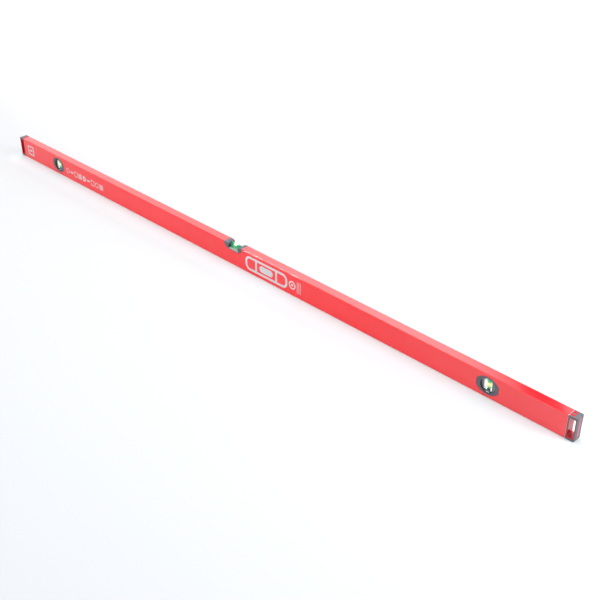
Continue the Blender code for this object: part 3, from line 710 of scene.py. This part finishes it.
# ------------------------------------------------------------------ horizontal vial
def build_level_vial():
    lip_top = 42.7 * MM
    inner_r = NOTCH_R - GAP

    def cheek_top(side):
        outer = NOTCH_HALF - GAP - 0.3 * MM
        points = []
        for k in range(15):
            t = k / 14
            x = outer + (CHEEK_INNER + 0.8 * MM - outer) * t
            points.append((side * x, HEIGHT - 0.12 * MM - 1.9 * MM * t ** 3.2))
        # rounded shoulder down to the inner wall
        last = points[-1][1]
        for k in range(1, 7):
            a = math.pi / 2 * k / 6
            points.append((side * (CHEEK_INNER + 0.8 * MM - 0.8 * MM * math.sin(a)),
                           last - 0.8 * MM * (1 - math.cos(a))))
        return points
    saddle = (notch_arc(-1, inner_r, HEIGHT - 0.5 * MM)
              + list(reversed(notch_arc(1, inner_r, HEIGHT - 0.5 * MM)))
              + cheek_top(1) + [(CHEEK_INNER, lip_top), (-CHEEK_INNER, lip_top)]
              + list(reversed(cheek_top(-1))))
    anchor = [(-31 * MM, 34.3 * MM), (31 * MM, 34.3 * MM), (31 * MM, 45 * MM),
              (CHEEK_INNER + 0.5 * MM, 45 * MM), (CHEEK_INNER + 0.5 * MM, lip_top - 0.2 * MM),
              (-CHEEK_INNER - 0.5 * MM, lip_top - 0.2 * MM), (-CHEEK_INNER - 0.5 * MM, 45 * MM),
              (-31 * MM, 45 * MM)]
    slot_r = LV_R + 0.4 * MM
    slot = ([(-7.3 * MM, 30 * MM), (7.3 * MM, 30 * MM), (7.3 * MM, LV_Z - 1.0 * MM)]
            + [(7.3 * MM * math.cos(math.pi * k / 32), LV_Z + slot_r * math.sin(math.pi * k / 32))
               for k in range(33)]
            + [(-7.3 * MM, LV_Z - 1.0 * MM)])
    bm = combine(prism(saddle, -HALF_Y + 0.15 * MM, HALF_Y - 0.15 * MM, "Y"), [
        ('UNION', prism(anchor, -CAVITY_Y + GAP, CAVITY_Y - GAP, "Y")),
        ('DIFFERENCE', prism(slot, -26 * MM, 26 * MM, "X")),
        ('DIFFERENCE', block(-CHEEK_INNER + 0.3 * MM, CHEEK_INNER - 0.3 * MM, -11.0 * MM, 11.0 * MM,
                             41.7 * MM, 44 * MM)),
    ])
    round_edges(bm, 0.28 * MM, 2, 38.0,
                lambda e: all(v.co.z > 41.0 * MM for v in e.verts))
    piece("level_housing_moulding", bm, GREY, "level", ["level_vial_housing"])

    bm = combine(block(-25.7 * MM, 25.7 * MM, -7.0 * MM, 7.0 * MM, 34.3 * MM, 45.5 * MM), [
        ('DIFFERENCE', prism(circle(0, LV_Z, LV_R + GAP, 72), -30 * MM, 30 * MM, "X")),
        ('DIFFERENCE', block(-18.6 * MM, 18.6 * MM, -12 * MM, 12 * MM, 41.4 * MM, 50 * MM)),
    ])
    round_edges(bm, 0.25 * MM, 2)
    piece("level_cradle_moulding", bm, DARK, "level", ["level_vial_cradle"])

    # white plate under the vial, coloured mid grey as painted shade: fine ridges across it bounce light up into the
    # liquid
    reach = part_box("level_vial_reflector")[1].x
    outline = [(-reach, 42.0 * MM), (reach, 42.0 * MM)]
    ridges = 16
    for k in range(ridges):
        x1 = reach - 2 * reach * k / ridges
        x0 = reach - 2 * reach * (k + 1) / ridges
        outline += [(x1, 42.6 * MM), (x1 * 0.65 + x0 * 0.35, 42.92 * MM), (x1 * 0.35 + x0 * 0.65, 42.92 * MM)]
    outline.append((-reach, 42.6 * MM))
    bm = combine(prism(outline, -10.7 * MM, 10.7 * MM, "Y"), [
        ('DIFFERENCE', prism(circle(0, LV_Z, LV_R + GAP, 72), -30 * MM, 30 * MM, "X")),
    ])
    piece("level_reflector_plate", bm, PLATE_PAINTED_SHADE, "level", ["level_vial_reflector"],
          weighted=False)

    bm = lathe("X", (0, 0, LV_Z), rounded_bar(LV_HALF, LV_R, 0.5 * MM), 72)
    piece("level_barrel_acrylic", bm, CLEAR, "level", ["level_vial_barrel"])
    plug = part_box("level_vial_plug")
    bm = lathe("X", ((plug[0].x + plug[1].x) / 2, 0, LV_Z),
               rounded_bar((plug[1].x - plug[0].x) / 2, LV_BORE - 0.1 * MM, 0.3 * MM), 48)
    piece("level_barrel_plug", bm, DARK, "level", ["level_vial_plug"])
    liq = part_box("level_vial_liquid")
    half = (liq[1].x - liq[0].x) / 2
    bm = lathe("X", ((liq[0].x + liq[1].x) / 2, 0, LV_Z), rounded_bar(half, LV_BORE, 1.6 * MM, 8), 64)
    piece("level_liquid_column", bm, LEVEL_LIQUID, "level", ["level_vial_liquid"])
    # the bubble lies flat against the top of the bore
    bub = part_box("level_vial_bubble")
    half, dome, reach = (bub[1].x - bub[0].x) / 2, 2.8 * MM, 4.25 * MM
    bm = flat_bubble(half, dome, reach, LV_BORE + 0.05 * MM, LV_Z)
    piece("level_air_bubble", bm, air_flat(half, dome, reach), "level_bubble",
          ["level_vial_bubble"], weighted=False, sharp=60.0)
    for tag, side in (("left", -1), ("right", 1)):
        bm = torus("X", (side * LV_RING_X, 0, LV_Z), LV_BORE + 0.44 * MM, 0.32 * MM, 0.42 * MM)
        piece("level_index_band_" + tag, bm, BLACK, "level", ["level_vial_ring_" + tag])


build_level_vial()


# ------------------------------------------------------------------ plumb vials
def build_plumb(tag, side):
    cx = side * PLUMB_X
    front = -HALF_Y + 0.2 * MM
    plate_back = HALF_Y - 2.1 * MM

    def bezel():
        bm = combine(prism(lens_outline(cx, GAP), front, -plate_back, "Y"), [
            ('UNION', prism(circle(cx, PLUMB_Z, COLLAR_R, 96), front + 0.8 * MM, -CARRIER_Y - GAP, "Y")),
            ('DIFFERENCE', prism(circle(cx, PLUMB_Z, WINDOW_R, 96), -3 * HALF_Y, 0.0, "Y")),
        ])
        # sight shelf: a shallow ledge low in the window
        shelf = []
        span = math.radians(44)
        for k in range(25):
            a = -math.pi / 2 - span + 2 * span * k / 24
            shelf.append((cx + (WINDOW_R + 0.8 * MM) * math.cos(a), PLUMB_Z + (WINDOW_R + 0.8 * MM) * math.sin(a)))
        for k in range(25):
            a = -math.pi / 2 + span - 2 * span * k / 24
            r = WINDOW_R - 3.6 * MM * math.cos((a + math.pi / 2) / span * math.pi / 2) ** 0.8 if k not in (0, 24) else WINDOW_R
            shelf.append((cx + r * math.cos(a), PLUMB_Z + r * math.sin(a)))
        bm = combine(bm, [('UNION', prism(shelf, front + 2.3 * MM, front + 3.5 * MM, "Y"))])
        round_edges(bm, 0.3 * MM, 2, 38.0, lambda e: all(v.co.y < front + 1.0 * MM for v in e.verts))
        return bm

    def bore(face):
        """The bore of the window gets the dark plastic: painted shade inside the window."""
        c = face.calc_center_median()
        return 1 if abs(face.normal.y) < 0.3 and math.hypot(c.x - cx, c.z - PLUMB_Z) < WINDOW_R + 0.3 * MM else 0
    piece(tag + "_front_bezel_moulding", bezel(), [GREY, DARK], "level", [tag + "_plumb_front_bezel"],
          bore)
    piece(tag + "_rear_bezel_moulding", mirrored(bezel(), (0, 1, 0)), [GREY, DARK], "level",
          [tag + "_plumb_rear_bezel"], bore)
    for where, sign in (("front", -1), ("rear", 1)):
        y = sorted((sign * (-front - 2.3 * MM), sign * (-front - 2.3 * MM + 0.05 * MM)))
        pill = [(cx + 0.0 * MM + u, PLUMB_Z - WINDOW_R + 1.9 * MM + v) for u, v in
                rounded_rect(-4.2 * MM, 4.2 * MM, -0.8 * MM, 0.8 * MM, 0.79 * MM, 8)]
        piece(tag + "_sight_mark_" + where, prism(pill, y[0], y[1], "Y"), WHITE, "level", [],
              weighted=False)

    bm = combine(prism(lens_outline(cx, 1.6 * MM), -CARRIER_Y, CARRIER_Y, "Y"), [
        ('DIFFERENCE', block(cx - BLOCK_X - 1.5 * MM, cx + BLOCK_X + 1.5 * MM, -3 * HALF_Y, 3 * HALF_Y,
                             PLUMB_Z - BLOCK_Z - GAP, PLUMB_Z + BLOCK_Z + GAP)),
    ])
    round_edges(bm, 0.3 * MM, 2)
    piece(tag + "_carrier_moulding", bm, CARRIER, "level", [tag + "_plumb_carrier"])

    z0, z1 = PLUMB_Z - BLOCK_Z, PLUMB_Z + BLOCK_Z
    bm = block(cx - BLOCK_X, cx + BLOCK_X, -BLOCK_Y, BLOCK_Y, z0, z1)
    round_edges(bm, 0.5 * MM, 3)
    piece(tag + "_block_acrylic", bm, CLEAR, "level", [tag + "_plumb_block"])

    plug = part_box(tag + "_plumb_plug")
    bm = lathe("Z", (cx, 0, (plug[0].z + plug[1].z) / 2),
               rounded_bar((plug[1].z - plug[0].z) / 2, PV_BORE - 0.1 * MM, 0.3 * MM), 48)
    piece(tag + "_block_plug", bm, DARK, "level", [tag + "_plumb_plug"])
    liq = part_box(tag + "_plumb_liquid")
    bm = lathe("Z", (cx, 0, (liq[0].z + liq[1].z) / 2),
               rounded_bar((liq[1].z - liq[0].z) / 2, PV_BORE, 1.4 * MM, 8), 64)
    piece(tag + "_liquid_column", bm, PLUMB_LIQUID, "level", [tag + "_plumb_liquid"])
    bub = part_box(tag + "_plumb_bubble")
    centre = (bub[0] + bub[1]) / 2
    bm = ellipsoid_bar("Z", centre, (bub[1].z - bub[0].z) / 2, (bub[1].x - bub[0].x) / 2,
                       (bub[1].y - bub[0].y) / 2, 3.1 * MM)
    piece(tag + "_air_bubble", bm, AIR, tag + "_plumb_bubble", [tag + "_plumb_bubble"])
    for end, sign in (("lower", -1), ("upper", 1)):
        bm = torus("Z", (cx, 0, PLUMB_Z + sign * PV_RING_Z), PV_BORE + 0.25 * MM, 0.28 * MM, 0.34 * MM)
        piece(tag + "_index_band_" + end, bm, BLACK, "level", [tag + "_plumb_ring_" + end])
    for end in ("inner", "outer"):
        lo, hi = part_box(tag + "_plumb_reflector_" + end)
        bm = block(lo.x, hi.x, lo.y, hi.y, lo.z, hi.z)
        round_edges(bm, 0.2 * MM, 2)
        piece(tag + "_light_strip_" + end, bm, WHITE, "level", [tag + "_plumb_reflector_" + end])


build_plumb("left", -1)
build_plumb("right", 1)


# ------------------------------------------------------------------ end caps
def wavy_outline(grow, steps=120):
    z0, z1 = PAD_Z[0] - grow, PAD_Z[1] + grow
    right, left = [], []
    for k in range(steps + 1):
        t = k / steps
        z = z0 + (z1 - z0) * t
        swell = PAD_HALF_W + grow - PAD_WAVE * math.cos(2 * math.pi * PAD_WAVES * t) ** 2
        edge = min(t, 1 - t) * (z1 - z0)
        r = 2.0 * MM
        pull = 0.0 if edge >= r else r - math.sqrt(max(0.0, r * r - (r - edge) ** 2))
        right.append((swell - pull, z))
        left.append((-(swell - pull), z))
    return right + list(reversed(left))


def build_cap(tag, side):
    body = tag + "_end_cap"

    def place(bm):
        return mirrored(bm, (1, 0, 0)) if side < 0 else bm
    shell = block(CAP_START, END_FACE, -HALF_Y, HALF_Y, 0.0, HEIGHT)
    outer_edges = [e for e in shell.edges if all(abs(v.co.x - END_FACE) < 1e-6 for v in e.verts)]
    bmesh.ops.bevel(shell, geom=outer_edges, offset=1.1 * MM, segments=5, profile=0.5,
                    affect='EDGES', clamp_overlap=True)
    ty = CAVITY_Y - GAP
    tz0, tz1 = FACE_WALL + GAP, HEIGHT - FACE_WALL - GAP
    wall = 1.8 * MM
    steps = [
        ('UNION', block(TONGUE_START, CAP_START + 1.0 * MM, -ty, ty, tz0, tz1)),
        ('DIFFERENCE', block(TONGUE_START - 5 * MM, CAP_START - 2.5 * MM, -ty + wall, ty - wall,
                             tz0 + wall, tz1 - wall)),
    ]
    for level in (14.0 * MM, 44.0 * MM):
        for sign in (-1, 1):
            ys = sorted((sign * (CAVITY_Y - 1.5 * MM), sign * (CAVITY_Y + 1 * MM)))
            steps.append(('DIFFERENCE', block(TONGUE_START - 5 * MM, CAP_START + 0.35 * MM, ys[0], ys[1],
                                              level - 1.1 * MM, level + 1.1 * MM)))
    hole = rounded_rect(HOLE_X[0], HOLE_X[1], HOLE_Z[0], HOLE_Z[1], HOLE_R)
    steps += [
        ('DIFFERENCE', prism(hole, -3 * HALF_Y, 3 * HALF_Y, "Y")),
        ('DIFFERENCE', prism(wavy_outline(0.12 * MM), END_FACE - 0.8 * MM, END_FACE + 5 * MM, "X")),
    ]

    def finger(sign, wider, z0, z1, reach=0.0):
        w = GRIP_W + wider
        x_end = GRIP_END + wider
        pts = [(CAP_START + GAP - reach, sign * GRIP_Y - w)]
        for k in range(25):
            a = -math.pi / 2 + math.pi * k / 24
            pts.append((x_end - w + w * math.cos(a), sign * GRIP_Y + w * math.sin(a)))
        pts.append((CAP_START + GAP - reach, sign * GRIP_Y + w))
        return prism(pts, z0, z1, "Z")
    floor_z = 55.6 * MM
    bar = (CAP_START + GAP, CAP_START + 2.3 * MM)
    bar_y = GRIP_Y + GRIP_W - 0.4 * MM
    for sign in (-1, 1):
        steps.append(('DIFFERENCE', finger(sign, 0.12 * MM, floor_z - GAP, HEIGHT + 5 * MM, 5 * MM)))
    steps.append(('DIFFERENCE', block(bar[0] - 5 * MM, bar[1] + GAP, -bar_y - 0.1 * MM, bar_y + 0.1 * MM,
                                      floor_z - GAP, floor_z + 1.0 * MM + GAP)))
    bm = combine(shell, steps)

    def hidden(v):
        return (v.co.x < CAP_START + 0.5 * MM and abs(v.co.y) < HALF_Y - 0.3 * MM
                and 1 * MM < v.co.z < HEIGHT - 5 * MM)
    round_edges(bm, 0.22 * MM, 2, 38.0, lambda e: all(v.co.x > CAP_START - 0.5 * MM for v in e.verts)
                and not all(hidden(v) for v in e.verts))
    piece(tag + "_cap_moulding", place(bm), GREY, body, [tag + "_end_cap_frame"])

    # soft lining of the hanging hole; the wall next to the section carries upright ribs
    outer, inner = [rounded_rect(HOLE_X[0] + inset, HOLE_X[1] - inset, HOLE_Z[0] + inset, HOLE_Z[1] - inset,
                                 HOLE_R - inset) for inset in (0.12 * MM, GAP + LINER_THICK)]
    bm = combine(prism(outer, -LINER_Y, LINER_Y, "Y"), [('DIFFERENCE', prism(inner, -3 * HALF_Y, 3 * HALF_Y, "Y"))])
    round_edges(bm, 0.3 * MM, 3, 50.0)
    ribs = []
    x_wall = HOLE_X[0] + GAP + LINER_THICK
    for k in range(7):
        y = -8.7 * MM + 2.9 * MM * k
        ribs.append(('UNION', prism([(x_wall - 0.3 * MM, y - 1.25 * MM), (x_wall + 0.16 * MM, y - 1.20 * MM),
                                     (x_wall + 0.25 * MM, y - 1.10 * MM), (x_wall + 0.25 * MM, y + 1.10 * MM),
                                     (x_wall + 0.16 * MM, y + 1.20 * MM), (x_wall - 0.3 * MM, y + 1.25 * MM)],
                                    HOLE_Z[0] + 3.4 * MM, HOLE_Z[1] - 3.4 * MM, "Z")))
    bm = combine(bm, ribs)
    piece(tag + "_hole_lining", place(bm), LINING, body, [tag + "_end_cap_liner"])

    bm = combine(finger(-1, 0.0, floor_z, HEIGHT + 0.05 * MM), [
        ('UNION', finger(1, 0.0, floor_z, HEIGHT + 0.05 * MM)),
        ('UNION', block(bar[0], bar[1], -bar_y, bar_y, floor_z, floor_z + 1.0 * MM)),
    ])
    round_edges(bm, 0.2 * MM, 2, 45.0, lambda e: all(v.co.z > HEIGHT - 0.1 * MM for v in e.verts))
    piece(tag + "_grip_inlay", place(bm), SOFT, body, [tag + "_end_cap_grip"])

    bm = prism(wavy_outline(0.0), END_FACE - 0.6 * MM, HALF_LENGTH, "X")
    round_edges(bm, 0.25 * MM, 2, 60.0)
    piece(tag + "_stop_pad", place(bm), PAD_PAINTED_SHEEN, body, [tag + "_end_cap_stop"])


build_cap("left", -1)
build_cap("right", 1)


# ------------------------------------------------------------------ printed marks
def build_marks():
    """Plain silver graphics on the front face: a vial pictogram, bars and small signs."""
    y0, y1 = -HALF_Y - 0.045 * MM, -HALF_Y + 0.01 * MM

    def mark(name, outline, holes=()):
        bm = prism(outline, y0, y1, "Y")
        if holes:
            bm = combine(bm, [('DIFFERENCE', prism(h, y0 - MM, y1 + MM, "Y")) for h in holes])
        piece(name, bm, SILVER, "level", [], weighted=False)

    def pill(x0, x1, z0, z1, r=None, steps=10):
        r = min((x1 - x0), (z1 - z0)) / 2 * 0.999 if r is None else r
        return rounded_rect(x0, x1, z0, z1, r, steps)
    # middle: a vial pictogram, a bubble between two index lines
    x0, x1, z0, z1 = 47 * MM, 197 * MM, 9 * MM, 49 * MM
    wall = 6.2 * MM
    mark("mark_vial_frame", pill(x0, x1, z0, z1, 16 * MM), [pill(x0 + wall, x1 - wall, z0 + wall, z1 - wall, 10 * MM)])
    mark("mark_vial_bubble", pill(98 * MM, 146 * MM, 20 * MM, 38 * MM))
    for k, x in enumerate((83 * MM, 155 * MM)):
        mark("mark_vial_line_%d" % (k + 1), pill(x, x + 6.0 * MM, 15.2 * MM, 42.8 * MM, 0.8 * MM))
    # a ring with a dot, then three thin uprights
    mark("mark_ring", circle(214 * MM, 29 * MM, 11.5 * MM, 72), [circle(214 * MM, 29 * MM, 8.0 * MM, 72)])
    mark("mark_dot", circle(214 * MM, 29 * MM, 3.6 * MM, 40))
    for k in range(3):
        x = 230.5 * MM + 5.4 * MM * k
        mark("mark_upright_%d" % (k + 1), pill(x, x + 1.5 * MM, 13 * MM, 45 * MM, 0.7 * MM))
    # a row of small plain signs beside the left plumb vial
    x = -750 * MM
    for k, kind in enumerate(("ring", "bar", "frame", "bars", "disc", "bar", "frame", "ring", "bars")):
        w = 17.0 * MM
        cx, z0, z1 = x + w / 2, 17.5 * MM, 34.5 * MM
        if kind == "ring":
            mark("sign_%d" % k, circle(cx, 26 * MM, 8.2 * MM, 48), [circle(cx, 26 * MM, 6.4 * MM, 48)])
        elif kind == "disc":
            mark("sign_%d" % k, circle(cx, 26 * MM, 8.2 * MM, 48), [circle(cx, 26 * MM, 3.2 * MM, 48)])
        elif kind == "bar":
            mark("sign_%d" % k, pill(x + 1 * MM, x + w - 1 * MM, 23.6 * MM, 28.4 * MM))
        elif kind == "frame":
            mark("sign_%d" % k, pill(x, x + w, z0, z1, 2.0 * MM),
                 [pill(x + 1.7 * MM, x + w - 1.7 * MM, z0 + 1.7 * MM, z1 - 1.7 * MM, 0.9 * MM)])
        else:
            for j in range(3):
                mark("sign_%d_%d" % (k, j), pill(x + 1 * MM + j * 5.6 * MM, x + 4.4 * MM + j * 5.6 * MM, z0, z1, 0.6 * MM))
        x += 21.2 * MM
    # a small upright block near the left end
    mark("mark_end_block", pill(-958 * MM, -927 * MM, 14 * MM, 44 * MM, 3 * MM),
         [pill(-954.5 * MM, -930.5 * MM, 17.5 * MM, 40.5 * MM, 1.4 * MM)])
    mark("mark_end_bar", pill(-950 * MM, -935 * MM, 26.4 * MM, 31.6 * MM))
    return mark, pill


build_marks()


# ------------------------------------------------------------------ stage
WORLD_SIDE, WORLD_TOP = 0.82, 0.50
SCREEN = 0.96
POWER_TOP, POWER_RIGHT, POWER_FRONT, POWER_FAR, POWER_SPOT = 42.0, 62.0, 33.0, 95.0, 10.0


def build_stage():
    bm = bmesh.new()
    bmesh.ops.create_grid(bm, x_segments=24, y_segments=24, size=14.0)
    mesh = bpy.data.meshes.new("studio_floor")
    bm.to_mesh(mesh)
    bm.free()
    floor = bpy.data.objects.new("studio_floor", mesh)
    floor.location = (0.0, 0.0, -0.0002)
    bpy.context.scene.collection.objects.link(floor)
    mat, tree, shader = new_material("studio_floor_white")
    vector = object_coords(tree)
    split = tree.nodes.new("ShaderNodeSeparateXYZ")
    tree.links.new(vector, split.inputs[0])
    near = mix_colour(tree, noise(tree, vector, 2.0, 2.0), (0.492, 0.501, 0.511), (0.504, 0.513, 0.523))
    # painted shade: the floor turns a shade darker and cooler towards the front
    front = remap(tree, split.outputs[1], -0.10, -1.3, 0.0, 1.0, True)
    near = mix_colour(tree, front, near, (0.484, 0.496, 0.518))
    # painted light: a brighter band along both sides of the bar lifts its contact shadow
    painted_light_by_bar = remap(tree, math_node(tree, 'ABSOLUTE', split.outputs[1], 0.0), 0.025, 0.085, 1.0, 0.0, True)
    along_bar = remap(tree, math_node(tree, 'ABSOLUTE', split.outputs[0], 0.0), 0.97, 1.04, 1.0, 0.0, True)
    painted_light_by_bar = math_node(tree, 'MULTIPLY', painted_light_by_bar, along_bar)
    near = mix_colour(tree, painted_light_by_bar, near, (0.632, 0.680, 0.700))
    # painted light: the floor brightens behind the bar
    back = remap(tree, split.outputs[1], 0.0, 0.9, 0.0, 1.0, True)
    tone = mix_colour(tree, back, near, (0.80, 0.80, 0.80))
    tree.links.new(tone, shader.inputs["Base Color"])
    shader.inputs["Roughness"].default_value = 0.8
    shader.inputs["Specular IOR Level"].default_value = 0.1
    mesh.materials.append(mat)

    world = bpy.data.worlds.new("studio")
    bpy.context.scene.world = world
    world.use_nodes = True
    tree = world.node_tree
    background = tree.nodes["Background"]
    coords = tree.nodes.new("ShaderNodeTexCoord")

    def dot(vec):
        d = tree.nodes.new("ShaderNodeVectorMath")
        d.operation = 'DOT_PRODUCT'
        tree.links.new(coords.outputs["Generated"], d.inputs[0])
        d.inputs[1].default_value = vec
        return d.outputs["Value"]
    def band(vec, low, high, out_low=0.0, out_high=1.0):
        return remap(tree, dot(vec), low, high, out_low, out_high, True)

    # even surround, dimmer overhead
    ground = band((0.0, 0.0, 1.0), 0.58, 0.74, WORLD_SIDE, WORLD_TOP)
    # behind and to the left stands a bright screen with a dark upright slit in it
    along = remap(tree, dot((0.6607, 0.6607, -0.3551)), -0.40, 0.20, 0.0, 1.0)
    ramp = tree.nodes.new("ShaderNodeValToRGB")
    tree.links.new(along, ramp.inputs["Fac"])
    stops = [(-0.400, 2.05), (-0.370, 2.1), (-0.226, 2.3), (-0.159, 3.1), (-0.107, 3.65), (-0.079, 3.7),
             (-0.050, 3.5), (-0.026, 2.65), (-0.013, 1.95), (-0.004, 1.35), (0.0027, 0.35), (0.009, 0.06),
             (0.016, 0.0), (0.0288, 0.2), (0.032, 0.5), (0.0355, 2.4), (0.060, 2.0), (0.15, WORLD_SIDE)]
    elements = ramp.color_ramp.elements
    while len(elements) < len(stops):
        elements.new(0.5)
    for element, (t, level) in zip(elements, stops):
        element.position = (t + 0.40) / 0.60
        element.color = (level / 4.0, level / 4.0, level / 4.0, 1.0)
    screen = math_node(tree, 'MULTIPLY', ramp.outputs["Color"], 4.0 * SCREEN)
    where = math_node(tree, 'MULTIPLY', band((0.0, 1.0, 0.0), 0.22, 0.36), band((-1.0, 0.0, 0.0), -0.05, 0.12))
    where = math_node(tree, 'MULTIPLY', where, band((0.0, 0.0, 1.0), 0.20, 0.30))
    where = math_node(tree, 'MULTIPLY', where, band((0.0, 0.0, 1.0), 0.68, 0.78, 1.0, 0.0))
    extra = math_node(tree, 'MULTIPLY', where, math_node(tree, 'SUBTRACT', screen, ground))
    tree.links.new(math_node(tree, 'ADD', ground, extra), background.inputs["Strength"])
    background.inputs["Color"].default_value = (0.985, 0.99, 1.0, 1.0)

    def area(name, where, target, size, power, colour=(1.0, 1.0, 1.0), diffuse=True, glossy=True):
        data = bpy.data.lights.new(name, 'AREA')
        data.shape = 'RECTANGLE'
        data.size, data.size_y = size
        data.energy = power
        data.color = colour
        obj = bpy.data.objects.new(name, data)
        obj.location = where
        obj.rotation_euler = (Vector(target) - Vector(where)).to_track_quat('-Z', 'Y').to_euler()
        obj.visible_diffuse = diffuse
        obj.visible_glossy = glossy
        bpy.context.scene.collection.objects.link(obj)
        return obj
    area("overhead_panel", (-0.2, -0.3, 3.0), (-0.2, -0.3, 0.0), (3.2, 1.4), POWER_TOP, glossy=False)
    area("front_softbox", (-1.1, -2.2, 2.2), (-0.7, 0.0, 0.0), (2.6, 1.0), POWER_FRONT, glossy=False)
    area("far_panel", (-1.2, 1.9, 3.0), (-1.2, 1.9, 0.0), (4.0, 3.0), POWER_FAR, glossy=False)
    area("near_end_panel", (1.25, -0.12, 1.9), (1.25, -0.12, 0.0), (0.7, 0.5), POWER_SPOT, glossy=False)
    area("right_softbox", (3.0, 0.9, 1.1), (0.9, 0.0, 0.03), (1.0, 1.0), POWER_RIGHT)

    # narrow strips overhead that only draw the light lines along the top edges
    lit = bpy.data.collections.new("lit_by_edge_strips")
    lit.objects.link(PROFILE)
    for name, x0, x1, y0, y1, level in (("edge_strip_right", -0.5, 0.0, -0.5, 0.9, 150.0),
                                        ("edge_strip_left", -2.5, -1.95, -0.3, 0.8, 300.0)):
        strip = area(name, ((x0 + x1) / 2, (y0 + y1) / 2, 3.0), ((x0 + x1) / 2, (y0 + y1) / 2, 0.0), (x1 - x0, y1 - y0),
                     level * math.pi * (x1 - x0) * (y1 - y0), diffuse=False)
        strip.light_linking.receiver_collection = lit


build_stage()


# ------------------------------------------------------------------ camera
cam_data = bpy.data.cameras.new("camera")
cam_data.sensor_width = 36.0
cam_data.lens = 59.009
cam_data.clip_start = 0.05
cam_data.clip_end = 60.0
camera = bpy.data.objects.new("camera", cam_data)
camera.location = (1.66457, -1.45683, 1.27419)
camera.rotation_euler = (math.radians(57.833), 0.0, math.radians(44.578))
bpy.context.scene.collection.objects.link(camera)
bpy.context.scene.camera = camera
bpy.context.scene.view_settings.view_transform = 'Standard'
